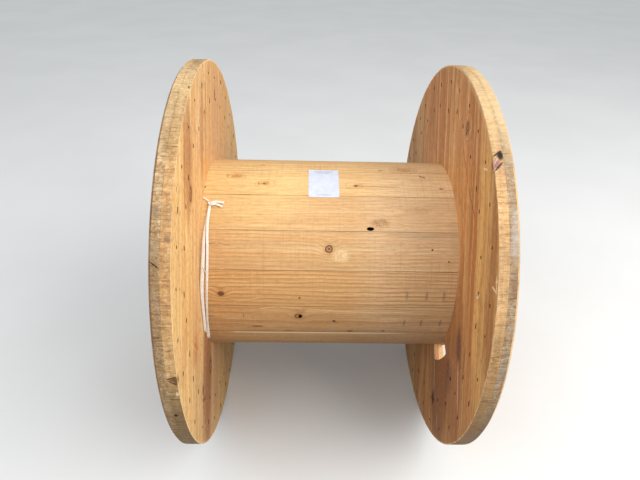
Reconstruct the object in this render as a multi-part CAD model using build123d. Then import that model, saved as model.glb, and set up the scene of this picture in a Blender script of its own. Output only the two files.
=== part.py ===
from build123d import *
import math
import os

# Wooden cable drum, lying on its rims.
# Millimetres. X runs along the drum's axis, Z is up, and the origin is on the floor,
# midway between the flanges and straight below the axis.

# Drum
FLANGE_D = 1000
BARREL_D = 500
TRAVERSE = 600
BORE_D = 80

# Flange boards in two crossed layers, with the place of one joint in each layer
INNER_LAYER = 20
OUTER_LAYER = 21
BOARD_W = 118
NARROWEST_BOARD = 60
INNER_JOINT = -80
OUTER_JOINT = -11
GRAIN_LEAN = 27
RIM_CHAMFER = 5

# Barrel staves, let into a groove in each flange
STAVE_COUNT = 17
STAVE_T = 25
STAVE_TURN = 13
GROOVE_DEPTH = 8
GROOVE_CLEARANCE = 0.3

# Start hole for the cable's end, cut at a slant beside the barrel.
# It starts a little under the barrel. Its ends are angles above the drum's front.
HOLE_DEPTH = 42
HOLE_UNDER = 6
HOLE_FROM = -50
HOLE_TO = -26
HOLE_CORNER_R = 6
HOLE_SLANT = 57

# Tie bolts just inside the barrel, with square washers
BOLT_COUNT = 4
BOLT_D = 12
BOLT_INSET = 35
BOLT_TURN = 45
BOLT_TIP = 6
WASHER_W = 45
WASHER_T = 4
NUT_AF = 18
NUT_H = 10

# White cotton tape, knotted at the left end of the barrel
TAPE_W = 6
TAPE_T = 1.5
TAPE_LIFT = 3
TAPE_OVER = 2.2
KNOT_X = -277.5
KNOT_ANGLE = 59.6
KNOT_L = 19
KNOT_W = 16
KNOT_T = 9
KNOT_CORNER_R = 2

FLANGE_R = FLANGE_D / 2
BARREL_R = BARREL_D / 2
FLANGE_T = INNER_LAYER + OUTER_LAYER
INNER_X = TRAVERSE / 2
SEAM_X = INNER_X + INNER_LAYER
OUTER_X = INNER_X + FLANGE_T
AXIS_Z = FLANGE_R
BOLT_R = BARREL_R - STAVE_T - BOLT_INSET
RIGHT_ANGLE = 90


# A plane across the drum's axis at x. Its own x runs to the back and its y runs up,
# and both lean by the given number of degrees.
def across(x, lean=0):
    turn = math.radians(lean)
    back = (0, math.cos(turn), -math.sin(turn))
    return Plane(origin=(x, 0, AXIS_Z), x_dir=back, z_dir=(1, 0, 0))


# A point of that plane by its radius and its angle above the drum's front
def polar(radius, angle):
    turn = math.radians(angle)
    return (-radius * math.cos(turn), radius * math.sin(turn))


# A straight round bar along the axis
def bar(radius, x_from, x_to, place=(0, 0)):
    face = across(x_from) * Pos(*place) * Circle(radius)
    return extrude(face, x_to - x_from)


# Where the tie bolts stand around the axis
def bolt_places():
    step = 360 / BOLT_COUNT
    return [polar(BOLT_R, BOLT_TURN + step * i) for i in range(BOLT_COUNT)]


# The start hole, as the solid that is taken out of the right flange
def start_hole():
    outer_r = BARREL_R + HOLE_DEPTH
    middle = (HOLE_FROM + HOLE_TO) / 2
    reach = 2 * outer_r
    wedge = make_face(Polyline((0, 0), polar(reach, HOLE_FROM), polar(reach, HOLE_TO), close=True))
    slot = (Circle(outer_r) - Circle(BARREL_R - HOLE_UNDER)) & wedge
    corners = [v for v in slot.vertices() if math.hypot(v.X, v.Y) > BARREL_R + HOLE_DEPTH / 2]
    slot = fillet(corners, HOLE_CORNER_R)
    sideways = polar(math.tan(math.radians(HOLE_SLANT)), middle - RIGHT_ANGLE)
    slant = Vector(1, *sideways)
    return extrude(across(INNER_X) * slot, FLANGE_T * slant.length, dir=slant.normalized())


# One whole flange on the right-hand side, before it is split into boards
def flange(with_start_hole):
    disc = bar(FLANGE_R, INNER_X, OUTER_X)
    disc = chamfer(disc.edges().sort_by(Axis.X)[-1], RIM_CHAMFER)
    disc -= bar(BORE_D / 2, INNER_X, OUTER_X)
    groove_x = INNER_X + GROOVE_DEPTH
    groove = bar(BARREL_R + GROOVE_CLEARANCE, INNER_X, groove_x)
    disc -= groove - bar(BARREL_R - STAVE_T - GROOVE_CLEARANCE, INNER_X, groove_x)
    for place in bolt_places():
        disc -= bar(BOLT_D / 2, INNER_X, OUTER_X, place)
    if with_start_hole:
        disc -= start_hole()
    return disc


# Every edge of a layer's boards, as distances from the axis
def board_edges(joint):
    last = FLANGE_R - NARROWEST_BOARD
    first = joint - BOARD_W * math.floor((joint + last) / BOARD_W)
    count = math.floor((last - first) / BOARD_W) + 1
    return [-FLANGE_R] + [first + BOARD_W * i for i in range(count)] + [FLANGE_R]


# The boards of one layer of a flange
def boards(disc, x_from, x_to, lean, joint):
    edges = board_edges(joint)
    pieces = []
    for start, end in zip(edges, edges[1:]):
        face = across(x_from, lean) * Pos((start + end) / 2, 0) * Rectangle(end - start, FLANGE_D)
        pieces.append(disc & extrude(face, x_to - x_from))
    return pieces


# One stave: round outside, flat inside, with its ends in the grooves
def stave(angle):
    half = 180 / STAVE_COUNT
    flat = (BARREL_R - STAVE_T) / math.cos(math.radians(half))
    low, high = angle - half, angle + half
    corners = [polar(flat, low), polar(BARREL_D, low), polar(BARREL_D, high), polar(flat, high)]
    section = Circle(BARREL_R) & make_face(Polyline(*corners, close=True))
    end_x = INNER_X + GROOVE_DEPTH
    return extrude(across(-end_x) * section, 2 * end_x)


# Tie bolts, one threaded bar for each place
def tie_bolts():
    end_x = OUTER_X + WASHER_T + NUT_H + BOLT_TIP
    return [bar(BOLT_D / 2, -end_x, end_x, place) for place in bolt_places()]


# A flat piece with a bolt's hole at every place, from x outwards
def on_bolts(outline, x, thickness):
    sketch = outline - Circle(BOLT_D / 2)
    return [extrude(across(x) * Pos(*place) * sketch, thickness) for place in bolt_places()]


# The same pieces on the left side
def mirrored(pieces):
    return [mirror(piece, about=Plane.YZ) for piece in pieces]


# A point on the tape's way around the barrel, lifted where it lies over another stretch
def on_barrel(x, angle, over=0):
    back, up = polar(BARREL_R + TAPE_LIFT + over, angle)
    return Vector(x, back, AXIS_Z + up)


# A point on the tape where it hangs free in front of the barrel
def hanging(x, gap, height):
    return Vector(x, -BARREL_R - gap, height)


# Every stretch of the tape, from the knot outwards
def tape_routes():
    return {
        "tape_long_left": [on_barrel(-282, 58.4), on_barrel(-285.5, 47), on_barrel(-289.5, 34.5),
                           on_barrel(-293.5, 21.5), on_barrel(-296.2, 8.5), hanging(-296.6, 4.2, 482),
                           hanging(-296.5, 3.2, 434)],
        "tape_long_right": [on_barrel(-281, 58.4, TAPE_OVER), on_barrel(-281.5, 47, TAPE_OVER),
                            on_barrel(-280, 34.5, TAPE_OVER / 2), on_barrel(-281.5, 21.5),
                            on_barrel(-285, 8.5), hanging(-288, 4.4, 482), hanging(-289.7, 4.8, 446),
                            hanging(-290, 3.8, 410)],
        "tape_tail_upper": [on_barrel(-270.5, 60, TAPE_OVER), on_barrel(-260, 60.9, TAPE_OVER),
                            on_barrel(-249, 60.5, TAPE_OVER)],
        "tape_tail_lower": [on_barrel(-270.5, 59.2), on_barrel(-261.5, 58.3), on_barrel(-252.5, 57.1)],
        "tape_end": [on_barrel(-284.5, 60.8), on_barrel(-292, 62), on_barrel(-INNER_X, 62)],
    }


# A flat tape along straight runs joined by arcs as large as the runs allow
def tape(name, points):
    runs = [b - a for a, b in zip(points, points[1:])]
    radii = []
    for before, after in zip(runs, runs[1:]):
        half_turn = math.radians(before.get_angle(after)) / 2
        radii.append(0.45 * min(before.length, after.length) / math.tan(half_turn))
    path = FilletPolyline(*points, radius=radii)
    outward = Vector(0, points[0].Y, points[0].Z - AXIS_Z)
    start = Plane(path @ 0, x_dir=outward.cross(path % 0), z_dir=path % 0)
    strip = sweep(start * Rectangle(TAPE_W, TAPE_T), path=path)
    share = strip.volume / (TAPE_W * TAPE_T * path.length)
    print(f"{name}: {path.length:.1f} mm long, {share:.4f} of its section's volume,",
          "radii", [round(r) for r in radii])
    return strip


# The knot, hollowed where the stretches of tape go into it
def knot(stretches):
    back, up = polar(BARREL_R + GROOVE_CLEARANCE, KNOT_ANGLE)
    seat = Plane(origin=(KNOT_X, back, AXIS_Z + up), x_dir=(1, 0, 0), z_dir=(0, back, up))
    lump = extrude(seat * RectangleRounded(KNOT_L, KNOT_W, KNOT_CORNER_R), KNOT_T)
    for stretch in stretches:
        lump -= stretch
    return lump


def save(name, pieces):
    shape = Compound(children=pieces) if len(pieces) > 1 else pieces[0]
    export_step(shape, f"parts/{name}.step")


def build():
    os.makedirs("parts", exist_ok=True)
    plain = flange(False)
    drilled = flange(True)
    inner = (INNER_X, SEAM_X, GRAIN_LEAN, INNER_JOINT)
    outer = (SEAM_X, OUTER_X, GRAIN_LEAN + RIGHT_ANGLE, OUTER_JOINT)
    for layer, layout in (("inner", inner), ("outer", outer)):
        for i, piece in enumerate(mirrored(boards(plain, *layout)), 1):
            save(f"left_{layer}_board_{i}", [piece])
        for i, piece in enumerate(boards(drilled, *layout), 1):
            save(f"right_{layer}_board_{i}", [piece])
    for i in range(STAVE_COUNT):
        save(f"stave_{i + 1}", [stave(STAVE_TURN + 360 / STAVE_COUNT * i)])
    washers = on_bolts(Rectangle(WASHER_W, WASHER_W), OUTER_X, WASHER_T)
    nuts = on_bolts(RegularPolygon(NUT_AF / 2, 6, major_radius=False), OUTER_X + WASHER_T, NUT_H)
    save("tie_bolts", tie_bolts())
    save("washers", washers + mirrored(washers))
    save("nuts", nuts + mirrored(nuts))
    stretches = {name: tape(name, points) for name, points in tape_routes().items()}
    for name, stretch in stretches.items():
        save(name, [stretch])
    save("tape_knot", [knot(stretches.values())])


build()
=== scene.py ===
import math
import random

import bmesh
import bpy
from mathutils import Matrix, Vector

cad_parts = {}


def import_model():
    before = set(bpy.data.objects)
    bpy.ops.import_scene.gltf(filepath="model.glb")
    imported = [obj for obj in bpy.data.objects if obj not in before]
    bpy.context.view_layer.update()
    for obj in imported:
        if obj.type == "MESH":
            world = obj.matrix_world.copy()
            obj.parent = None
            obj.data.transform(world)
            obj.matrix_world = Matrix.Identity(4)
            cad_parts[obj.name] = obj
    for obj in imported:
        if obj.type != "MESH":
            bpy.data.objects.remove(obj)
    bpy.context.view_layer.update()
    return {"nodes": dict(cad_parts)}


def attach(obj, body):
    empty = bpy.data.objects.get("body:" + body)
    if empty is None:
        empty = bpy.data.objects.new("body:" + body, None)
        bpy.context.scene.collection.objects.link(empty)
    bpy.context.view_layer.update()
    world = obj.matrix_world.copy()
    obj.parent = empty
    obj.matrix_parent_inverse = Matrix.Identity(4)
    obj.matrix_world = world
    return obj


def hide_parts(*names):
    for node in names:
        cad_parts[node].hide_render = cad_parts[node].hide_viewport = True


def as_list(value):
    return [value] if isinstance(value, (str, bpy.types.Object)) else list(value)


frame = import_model()

# Sizes and places as the solids have them, in metres and degrees
AXIS = Vector((0, 0, 0.5))
FLANGE_R = 0.5
BARREL_R = 0.25
INNER_X = 0.3
SEAM_X = 0.32
OUTER_X = 0.341
GRAIN_LEAN = 27
RIGHT_ANGLE = 90
STAVES = 17
FIRST_SEAM = 2.4

# The shaders measure in millimetres. A layer of boards is its lean, its first joint and its joints' number.
MM = 0.001
RIM_MM = FLANGE_R / MM
BARREL_MM = BARREL_R / MM
SEAM_MM = SEAM_X / MM
BOARD_W = 118
INNER_LAYER = (GRAIN_LEAN, -434, 8)
OUTER_LAYER = (GRAIN_LEAN + RIGHT_ANGLE, -365, 7)

# The camera, fitted to the outlines of the flanges and the barrel
CAMERA_PLACE = (-0.0561, -1.1939, 1.2994)
CAMERA_RIGHT = Vector((0.9995, -0.0157, 0.0270))
CAMERA_UP = Vector((-0.0143, 0.5378, 0.8430))
CAMERA_FORWARD = Vector((0.0277, 0.8429, -0.5373))
SENSOR_MM = 36
LENS_MM = 28.955


def new_object(name, data):
    made = bpy.data.objects.new(name, data)
    bpy.context.scene.collection.objects.link(made)
    return made


def make_camera():
    data = bpy.data.cameras.new("camera")
    data.sensor_width = SENSOR_MM
    data.lens = LENS_MM
    camera = new_object("camera", data)
    turn = Matrix((CAMERA_RIGHT, CAMERA_UP, -CAMERA_FORWARD)).transposed().to_4x4()
    camera.matrix_world = Matrix.Translation(CAMERA_PLACE) @ turn
    bpy.context.scene.camera = camera


def around(x, radius, angle):
    """A point at a radius and an angle above the drum's front."""
    turn = math.radians(angle)
    return Vector((x, -radius * math.cos(turn), AXIS.z + radius * math.sin(turn)))


# Materials. A colour is written as it is seen on a screen, from 0 to 255.
def linear(red, green, blue):
    """A colour in the numbers that a shader works with."""
    return tuple(((c / 255 + 0.055) / 1.055) ** 2.4 for c in (red, green, blue)) + (1,)


class Shader:
    """One procedural material or world. A value may be a number, a tuple or another node's output."""

    FAR = 99

    def __init__(self, name, world=False):
        self.material = (bpy.data.worlds if world else bpy.data.materials).new(name)
        self.material.use_nodes = True
        self.tree = self.material.node_tree
        self.tree.nodes.clear()

    def put(self, socket, value):
        if isinstance(value, bpy.types.NodeSocket):
            self.tree.links.new(value, socket)
        elif socket.type == "RGBA" and len(value) == 3:
            socket.default_value = linear(*value)
        else:
            socket.default_value = value

    def node(self, kind, inputs, output=0, **settings):
        made = self.tree.nodes.new("ShaderNode" + kind)
        for key, value in settings.items():
            setattr(made, key, value)
        for key, value in inputs.items():
            self.put(made.inputs[key], value)
        return made.outputs[output]

    def math(self, operation, *values):
        return self.node("Math", dict(enumerate(values)), operation=operation)

    def plus(self, first, *others):
        for other in others:
            first = self.math("ADD", first, other)
        return first

    def times(self, first, *others):
        for other in others:
            first = self.math("MULTIPLY", first, other)
        return first

    def minus(self, first, second):
        return self.math("SUBTRACT", first, second)

    def apart(self, first, second):
        """How far two numbers are from each other."""
        return self.math("ABSOLUTE", self.minus(first, second))

    def limit(self, value, low, high):
        return self.math("MAXIMUM", low, self.math("MINIMUM", high, value))

    def vector(self, operation, first, second=(0, 0, 0)):
        output = "Value" if operation in ("DOT_PRODUCT", "LENGTH") else "Vector"
        return self.node("VectorMath", {0: first, 1: second}, output, operation=operation)

    def scale(self, value, factor):
        return self.node("VectorMath", {0: value, "Scale": factor}, operation="SCALE")

    def join(self, x, y, z):
        return self.node("CombineXYZ", {0: x, 1: y, 2: z})

    def split(self, value):
        made = self.tree.nodes.new("ShaderNodeSeparateXYZ")
        self.put(made.inputs[0], value)
        return made.outputs

    def noise(self, place, size, detail=2, roughness=0.5, distortion=0, output="Fac"):
        """Soft random numbers. A size of three numbers stretches the pattern."""
        if isinstance(size, tuple):
            place, size = self.vector("MULTIPLY", place, size), 1
        return self.node("TexNoise", {"Vector": place, "Scale": size, "Detail": detail,
                                      "Roughness": roughness, "Distortion": distortion}, output)

    def shaken(self, place, size, detail, reach):
        """The place, moved about a little, which gives an uneven edge to what is drawn there."""
        chance = self.noise(place, size, detail, output="Color")
        return self.vector("ADD", place, self.scale(self.vector("SUBTRACT", chance, (0.5, 0.5, 0)), reach))

    def ease(self, value, start, end, low=0, high=1):
        """Runs from low to high, smoothly, while the value runs from start to end."""
        return self.node("MapRange", {"Value": value, "From Min": start, "From Max": end, "To Min": low,
                                      "To Max": high}, interpolation_type="SMOOTHSTEP")

    def mix(self, factor, first, second, blend="MIX"):
        made = self.tree.nodes.new("ShaderNodeMix")
        made.data_type = "RGBA"
        made.blend_type = blend
        for key, value in ((0, factor), (6, first), (7, second)):
            self.put(made.inputs[key], value)
        return made.outputs[2]

    def veil(self, colour, value, start, end, depth, tone):
        """Lays a tone over a colour, up to a depth, while the value runs from start to end."""
        return self.mix(self.ease(value, start, end, 0, depth), colour, tone)

    def steps(self, value, stops):
        """One of the stops for each whole number that the value runs through from 0."""
        made = self.tree.nodes.new("ShaderNodeValToRGB")
        made.color_ramp.interpolation = "CONSTANT"
        elements = made.color_ramp.elements
        elements[0].color = stops[0]
        elements.remove(elements[1])
        for i, stop in enumerate(stops[1:], 1):
            elements.new(i / len(stops)).color = stop
        self.put(made.inputs[0], self.math("DIVIDE", self.plus(value, 0.5), len(stops)))
        return made.outputs[0]

    def finish(self, colour, roughness, height=None, strength=0.3, distance=0.001, **more):
        surface = self.tree.nodes.new("ShaderNodeBsdfPrincipled")
        self.put(surface.inputs["Base Color"], colour)
        self.put(surface.inputs["Roughness"], roughness)
        for key, value in more.items():
            self.put(surface.inputs[key.replace("_", " ")], value)
        if height is not None:
            bump = {"Height": height, "Strength": strength, "Distance": distance}
            self.put(surface.inputs["Normal"], self.node("Bump", bump, "Normal"))
        output = self.tree.nodes.new("ShaderNodeOutputMaterial")
        self.tree.links.new(surface.outputs[0], output.inputs["Surface"])
        return self.material

    def point(self):
        """The place on the object in millimetres from the middle of the drum's axis."""
        place = self.node("TexCoord", {}, "Object")
        return self.scale(self.vector("SUBTRACT", place, AXIS), 1 / MM)

    def away(self, place, u, v, half_u, half_v):
        """How far a mark is, in units of its own half size."""
        offset = self.vector("SUBTRACT", place, (u, v, 0))
        return self.vector("LENGTH", self.vector("MULTIPLY", offset, (1 / half_u, 1 / half_v, 0)))

    def nearest(self, place, marks):
        """The same for the nearest of some marks, or far if there are none."""
        nearest = self.FAR
        for mark in marks:
            nearest = self.math("MINIMUM", nearest, self.away(place, *mark))
        return nearest


def spots(s, colour, place, marks, start=0.6, end=1.15, blend="MIX", share=None):
    """Lays soft-edged spots over a colour. A spot is (u, v, half u, half v, its colour, strength)."""
    for *mark, tone, strength in marks:
        inside = s.ease(s.away(place, *mark), start, end, strength, 0)
        if share is not None:
            inside = s.times(inside, share)
        colour = s.mix(inside, colour, tone, blend)
    return colour


def strokes(s, colour, place, marks):
    """Draws straight scratches and cracks. One is (u, v, to u, to v, half width, its colour, strength)."""
    for u, v, to_u, to_v, half, tone, strength in marks:
        offset = s.vector("SUBTRACT", place, ((u + to_u) / 2, (v + to_v) / 2, 0))
        length = math.hypot(to_u - u, to_v - v)
        way = ((to_u - u) / length, (to_v - v) / length, 0)
        forward = s.times(s.vector("DOT_PRODUCT", offset, way), 2 / length)
        beside = s.times(s.vector("DOT_PRODUCT", offset, (-way[1], way[0], 0)), 1 / half)
        away = s.plus(s.math("POWER", forward, 4), s.math("POWER", beside, 2))
        colour = s.mix(s.ease(away, 0.4, 1.2, strength, 0), colour, tone)
    return colour


KNOT_EDGE = (70, 38, 22)
KNOT_HEART = (172, 120, 72)
SOFT_KNOT = (206, 146, 86)
SOFT_EDGE = (158, 98, 50)
DARK_MARK = (30, 18, 12)
JOINT_DARK = (70, 42, 24)
PAINTED_HOLE_SHADE = (10, 6, 4)
WIDEST_RING = 20
FINE_RING = 6.3
HEART_REACH = 300


def late_wood(s, radius, width, dark_from, dark_to):
    """The dark part of each year ring."""
    ring = s.math("FRACT", s.math("DIVIDE", radius, width))
    return s.times(s.ease(ring, 0.35, dark_from), s.ease(ring, dark_to, 1, 1, 0))


def year_rings(s, spot, board, to_knot, to_soft, look):
    """Coarse and fine late wood. The rings go round the heart of the tree, which lies beside the board."""
    along, across, depth = spot
    by_board = s.join(along, across, board)
    chance = s.node("TexWhiteNoise", {"W": s.plus(board, look["seed"])}, "Color", noise_dimensions="1D")
    heart, wide, clear = s.split(s.steps(board, [(h, w / WIDEST_RING, c, 1) for h, w, c in look["grain"]]))
    wander = s.noise(by_board, (0.00192, 0.0108, 4.44), 2, 0.35)
    ripple = s.noise(by_board, (0.011, 0.03, 1))
    sideways = s.plus(across, s.times(s.minus(heart, 0.5), HEART_REACH))
    below = s.plus(depth, look["heart_near"], s.times(s.split(chance)[1], look["heart_far"]))
    radius = s.plus(s.vector("LENGTH", s.join(sideways, below, 0)), s.times(wander, look["wander"]),
                    s.times(ripple, look["ripple"]), s.times(along, 0.006),
                    s.ease(to_knot, 0, 5, look["swirl"], 0), s.ease(to_soft, 0, 2.2, look["swirl"], 0))
    patchy = s.noise(by_board, (0.0088, 0.066, 2.2), 3)
    coarse = late_wood(s, radius, s.times(wide, WIDEST_RING), 0.9, 0.94)
    fine = late_wood(s, radius, s.times(wide, FINE_RING), 0.85, 0.9)
    return (s.times(coarse, clear, s.ease(patchy, 0.3, 0.7, 0.45, 1)),
            s.times(fine, s.ease(patchy, 0.35, 0.65, 0.35, 0.05)))


def knots(s, colour, to_knot, to_soft, to_oval, late_tone):
    """Pale soft knots with faint rings, and knots with a dark edge."""
    rings = s.ease(s.math("SINE", s.times(to_soft, 13)), 0, 0.9)
    rings = s.times(rings, s.ease(to_soft, 0.9, 1.6, 0.4, 0))
    rings = s.math("MAXIMUM", rings, s.ease(s.apart(to_oval, 1), 0.02, 0.09, 0.3, 0))
    colour = s.mix(s.ease(to_soft, 0.3, 1.2, 0.75, 0), colour, SOFT_KNOT)
    colour = s.mix(rings, colour, SOFT_EDGE)
    core = s.veil(KNOT_HEART, s.math("SINE", s.times(to_knot, 9)), -0.2, 0.9, 0.35, KNOT_EDGE)
    core = s.veil(core, to_knot, 0.78, 0.95, 1, KNOT_EDGE)
    colour = s.mix(s.ease(to_knot, 1, 2.4, 0.35, 0), colour, late_tone)
    return s.mix(s.ease(to_knot, 1, 1.25, 1, 0), colour, core)


def wood(s, place, spot, board, to_joint, look):
    """Softwood whose year rings are cut by every face, so that the end grain follows from the boards.

    The place is on the surface, for marks. The spot is along, across and into the board, for grain.
    """
    along, across, depth = spot
    by_board = s.join(along, across, board)
    inside = s.join(along, across, depth)
    blurred = s.shaken(place, 0.09, 2, 3.5)
    ragged = s.shaken(place, 0.03, 3, 22)
    to_knot = s.nearest(blurred, look["knots"])
    to_soft = s.nearest(ragged, look["soft"])
    late, fine_late = year_rings(s, spot, board, to_knot, to_soft, look)

    # Colour: the board's own, streaks, fibres and flecks along the grain
    long_streak = s.noise(by_board, (0.0011, 0.05, 5.1), 4, 0.6)
    pale_streak = s.noise(by_board, (0.0016, 0.06, 8.3), 3, 0.6)
    fibre = s.noise(inside, (0.016, 0.36, 0.36), 4, 0.65)
    fleck = s.noise(inside, (0.07, 0.3, 0.3), 2, 0.6)
    colour = s.steps(board, [linear(*tone) for tone in look["boards"]])
    colour = s.veil(colour, long_streak, 0.4, 0.66, look["red_depth"], look["red"])
    colour = s.veil(colour, pale_streak, 0.48, 0.66, 0.55, look["pale"])
    colour = spots(s, colour, s.vector("ADD", ragged, s.scale(s.join(0, fibre, 0), 12)), look["bands"])
    colour = s.mix(s.times(late, look["ring_depth"]), colour, look["late"])
    colour = s.mix(fine_late, colour, look["late"])
    colour = s.veil(colour, fibre, 0.42, 0.66, look["fibre_depth"], look["fibre"])
    colour = s.veil(colour, fleck, 0.55, 0.72, look["fleck_depth"], look["late"])
    colour = s.veil(colour, fleck, 0.42, 0.26, look["fleck_depth"], look["light"])
    height = s.plus(s.times(late, 0.5), s.times(fibre, 0.8))

    # Curly grain beside knots, the knots, small dark marks, holes painted black as painted shade, and
    # scratches
    curl = s.ease(s.apart(s.noise(place, 0.11, 3, 0.6, 2.5), 0.5), 0.01, 0.05, 1, 0.25)
    colour = spots(s, colour, blurred, look["curls"], 0.5, 1.1, share=curl)
    colour = knots(s, colour, to_knot, to_soft, s.nearest(ragged, look["ovals"]), look["late"])
    colour = spots(s, colour, blurred, look["marks"], 0.75, 1.1)
    painted_hole_shade = s.ease(s.nearest(blurred, look["holes"]), 0.8, 1.1, 1, 0)
    colour = s.mix(painted_hole_shade, colour, PAINTED_HOLE_SHADE)
    colour = strokes(s, colour, blurred, look["scratches"])

    # The joints between neighbouring boards, in places so tight that they hardly show
    tight = s.noise(s.join(along, board, depth), (0.006, 9, 1))
    joint = s.times(s.ease(to_joint, 0.4, 1, 1, 0), s.ease(tight, 0.3, 0.7, 0.35, look["joint_depth"]))
    colour = s.mix(joint, colour, JOINT_DARK)
    height = s.minus(height, s.times(joint, 2))
    shine = s.times(s.minus(1, s.math("MAXIMUM", painted_hole_shade, joint)), 0.35)
    return colour, height, fibre, shine


BOTH_ENDS = (1, 3)


def by_angle(radius, marks, places=(1,)):
    """Marks whose places round a cylinder are angles, as marks by the millimetres of its surface."""
    return [tuple(math.radians(value) * radius if i in places else value for i, value in enumerate(mark))
            for mark in marks]


RIM_GREY = (172, 142, 104)
RIM_DIRT_AND_SHADE = (120, 94, 64)
SHADE_BELOW = (math.radians(12), math.radians(-22))
SHADE_ABOVE = (math.radians(-120), math.radians(-70))


def sawn_rim(s, on_rim, angle, end, look):
    """The sawn rim, speckled where it is end grain, dirty in patches and darker towards its bottom with
    painted shade, with three of its noises.
    """
    sawn = s.noise(on_rim, (0.03, 0.13, 0), 4, 0.8)
    patch = s.noise(on_rim, (0.04, 0.018, 4), 4, 0.6)
    speck = s.noise(on_rim, (0.16, 0.22, 2), 4, 0.8)
    dirt = s.noise(on_rim, (0.02, 0.006, 9), 3, 0.6)
    coarse = s.noise(on_rim, (0.08, 0.1, 5), 3, 0.75)
    cuts = s.noise(on_rim, (0.01, 0.17, 6), 3, 0.7)
    side_grain = s.veil(look["rim"], sawn, 0.46, 0.62, 0.75, look["rim_dark"])
    side_grain = s.veil(side_grain, speck, 0.46, 0.34, 0.6, look["light"])
    side_grain = s.veil(side_grain, patch, 0.48, 0.7, 0.5, RIM_GREY)
    end_grain = s.veil(look["end"], speck, 0.4, 0.62, 1, look["end_dark"])
    end_grain = s.veil(end_grain, sawn, 0.5, 0.62, 0.85, look["end_dark"])
    end_grain = s.veil(end_grain, patch, 0.5, 0.64, 0.5, look["end_light"])
    colour = s.mix(s.times(end, 0.8), side_grain, end_grain)
    colour = s.veil(colour, coarse, 0.53, 0.66, 0.85 * look["rim_rough"], look["end_light"])
    colour = s.veil(colour, coarse, 0.47, 0.35, 0.75 * look["rim_rough"], look["rim_dark"])
    colour = s.veil(colour, cuts, 0.54, 0.66, 0.7 * look["rim_rough"], look["end_dark"])
    colour = s.veil(colour, dirt, 0.44, 0.62, 0.35, RIM_DIRT_AND_SHADE)
    colour = spots(s, colour, on_rim, by_angle(RIM_MM, look["tints"]), 0.4, 1.25, "MULTIPLY")
    # Painted shade: the rim turns darker towards its bottom.
    low = s.times(s.ease(angle, *SHADE_BELOW, 0, 0.6), s.ease(angle, *SHADE_ABOVE))
    return s.mix(low, colour, RIM_DIRT_AND_SHADE), sawn, speck, patch


def flange_material(name, layer, look):
    """The boards of one layer of a flange, with their sawn rim."""
    lean, first, joints = layer
    s = Shader(name)
    point = s.point()
    turn = math.radians(lean)
    along_way = (0, math.sin(turn), math.cos(turn))
    along = s.vector("DOT_PRODUCT", point, along_way)
    across = s.vector("DOT_PRODUCT", point, (0, math.cos(turn), -math.sin(turn)))
    x, y, z = s.split(point)
    boards = s.math("DIVIDE", s.minus(across, first), BOARD_W)
    board = s.limit(s.plus(s.math("FLOOR", boards), 1), 0, joints)
    middle = s.plus(s.times(board, BOARD_W), first - BOARD_W / 2)
    joint = s.limit(s.math("ROUND", boards), 0, joints - 1)
    to_joint = s.apart(across, s.plus(s.times(joint, BOARD_W), first))
    spot = (along, s.minus(across, middle), x)
    colour, height, fibre, shine = wood(s, s.join(along, across, 0), spot, board, to_joint, look)

    # The rim. The third number of a place there is 1, so that each noise picks a pattern by its own size.
    radius = s.vector("LENGTH", s.join(0, y, z))
    normal = s.node("NewGeometry", {}, "Normal")
    facing = s.math("ABSOLUTE", s.split(normal)[0])
    rim = s.times(s.ease(radius, 490, 494), s.ease(facing, 0.8, 0.95, 1, 0))
    end = s.ease(s.math("ABSOLUTE", s.vector("DOT_PRODUCT", normal, along_way)), 0.3, 0.85)
    angle = s.math("ARCTAN2", z, s.times(y, -1))
    on_rim = s.join(x, s.times(angle, RIM_MM), 1)
    sawn_colour, sawn, speck, patch = sawn_rim(s, on_rim, angle, end, look)
    colour = s.mix(s.times(rim, 0.88), colour, sawn_colour)

    # The joint between the layers and those between the boards, where they come out on the rim
    seam = s.ease(s.apart(s.math("ABSOLUTE", x), SEAM_MM), 0.25, 0.8, 1, 0)
    seam = s.math("MAXIMUM", seam, s.ease(to_joint, 0.4, 1.2, 0.8, 0))
    open_share = s.ease(s.noise(on_rim, (0, 0.02, 7), 3), 0.35, 0.65, 0.1, look["seam_depth"])
    seam = s.times(seam, rim, open_share)
    colour = s.mix(seam, colour, JOINT_DARK)

    # Marks and cracks, a painted highlight along the arris, and painted light on the chamfer, as painted
    # shade on most layers and a painted highlight on the right outer layer
    edge = s.noise(on_rim, (0.05, 0.05, 0), 3)
    uneven = s.scale(s.join(s.minus(edge, 0.5), s.minus(speck, 0.5), 0), 5)
    uneven = s.vector("ADD", on_rim, uneven)
    outside = s.ease(radius, 486, 490)
    marked = spots(s, colour, uneven, by_angle(RIM_MM, look["rim_marks"]), 0.4, 1.25)
    marked = strokes(s, marked, uneven, by_angle(RIM_MM, look["rim_cracks"], BOTH_ENDS))
    colour = s.mix(outside, colour, marked)
    painted_arris_highlight = s.times(s.ease(radius, 495.5, 498.5), s.ease(facing, 0.8, 0.95))
    colour = s.mix(s.times(painted_arris_highlight, s.ease(edge, 0.4, 0.62, 0.9, 0.2)), colour, CREAM)
    chamfer = s.times(s.ease(facing, 0.4, 0.6), s.ease(facing, 0.8, 0.95, 1, 0), outside)
    colour = s.mix(s.times(chamfer, s.ease(patch, 0.4, 0.6, 0.75, 0.3)), colour, look["chamfer"])
    height = s.minus(height, s.times(s.ease(sawn, 0.4, 0.66), rim, 1.2))
    height = s.minus(height, s.times(seam, 2))
    shine = s.times(shine, s.ease(rim, 0, 1, 1, 0.5))
    return s.finish(colour, s.ease(fibre, 0.2, 0.8, 0.5, 0.72), height, 0.4, Specular_IOR_Level=shine)


SPOT_LISTS = ("bands", "knots", "soft", "curls", "marks", "holes", "ovals", "rubs")
HIGHLIGHT_ANGLE = -20.3
HIGHLIGHT_FROM, HIGHLIGHT_TO = -250, 210


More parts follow.
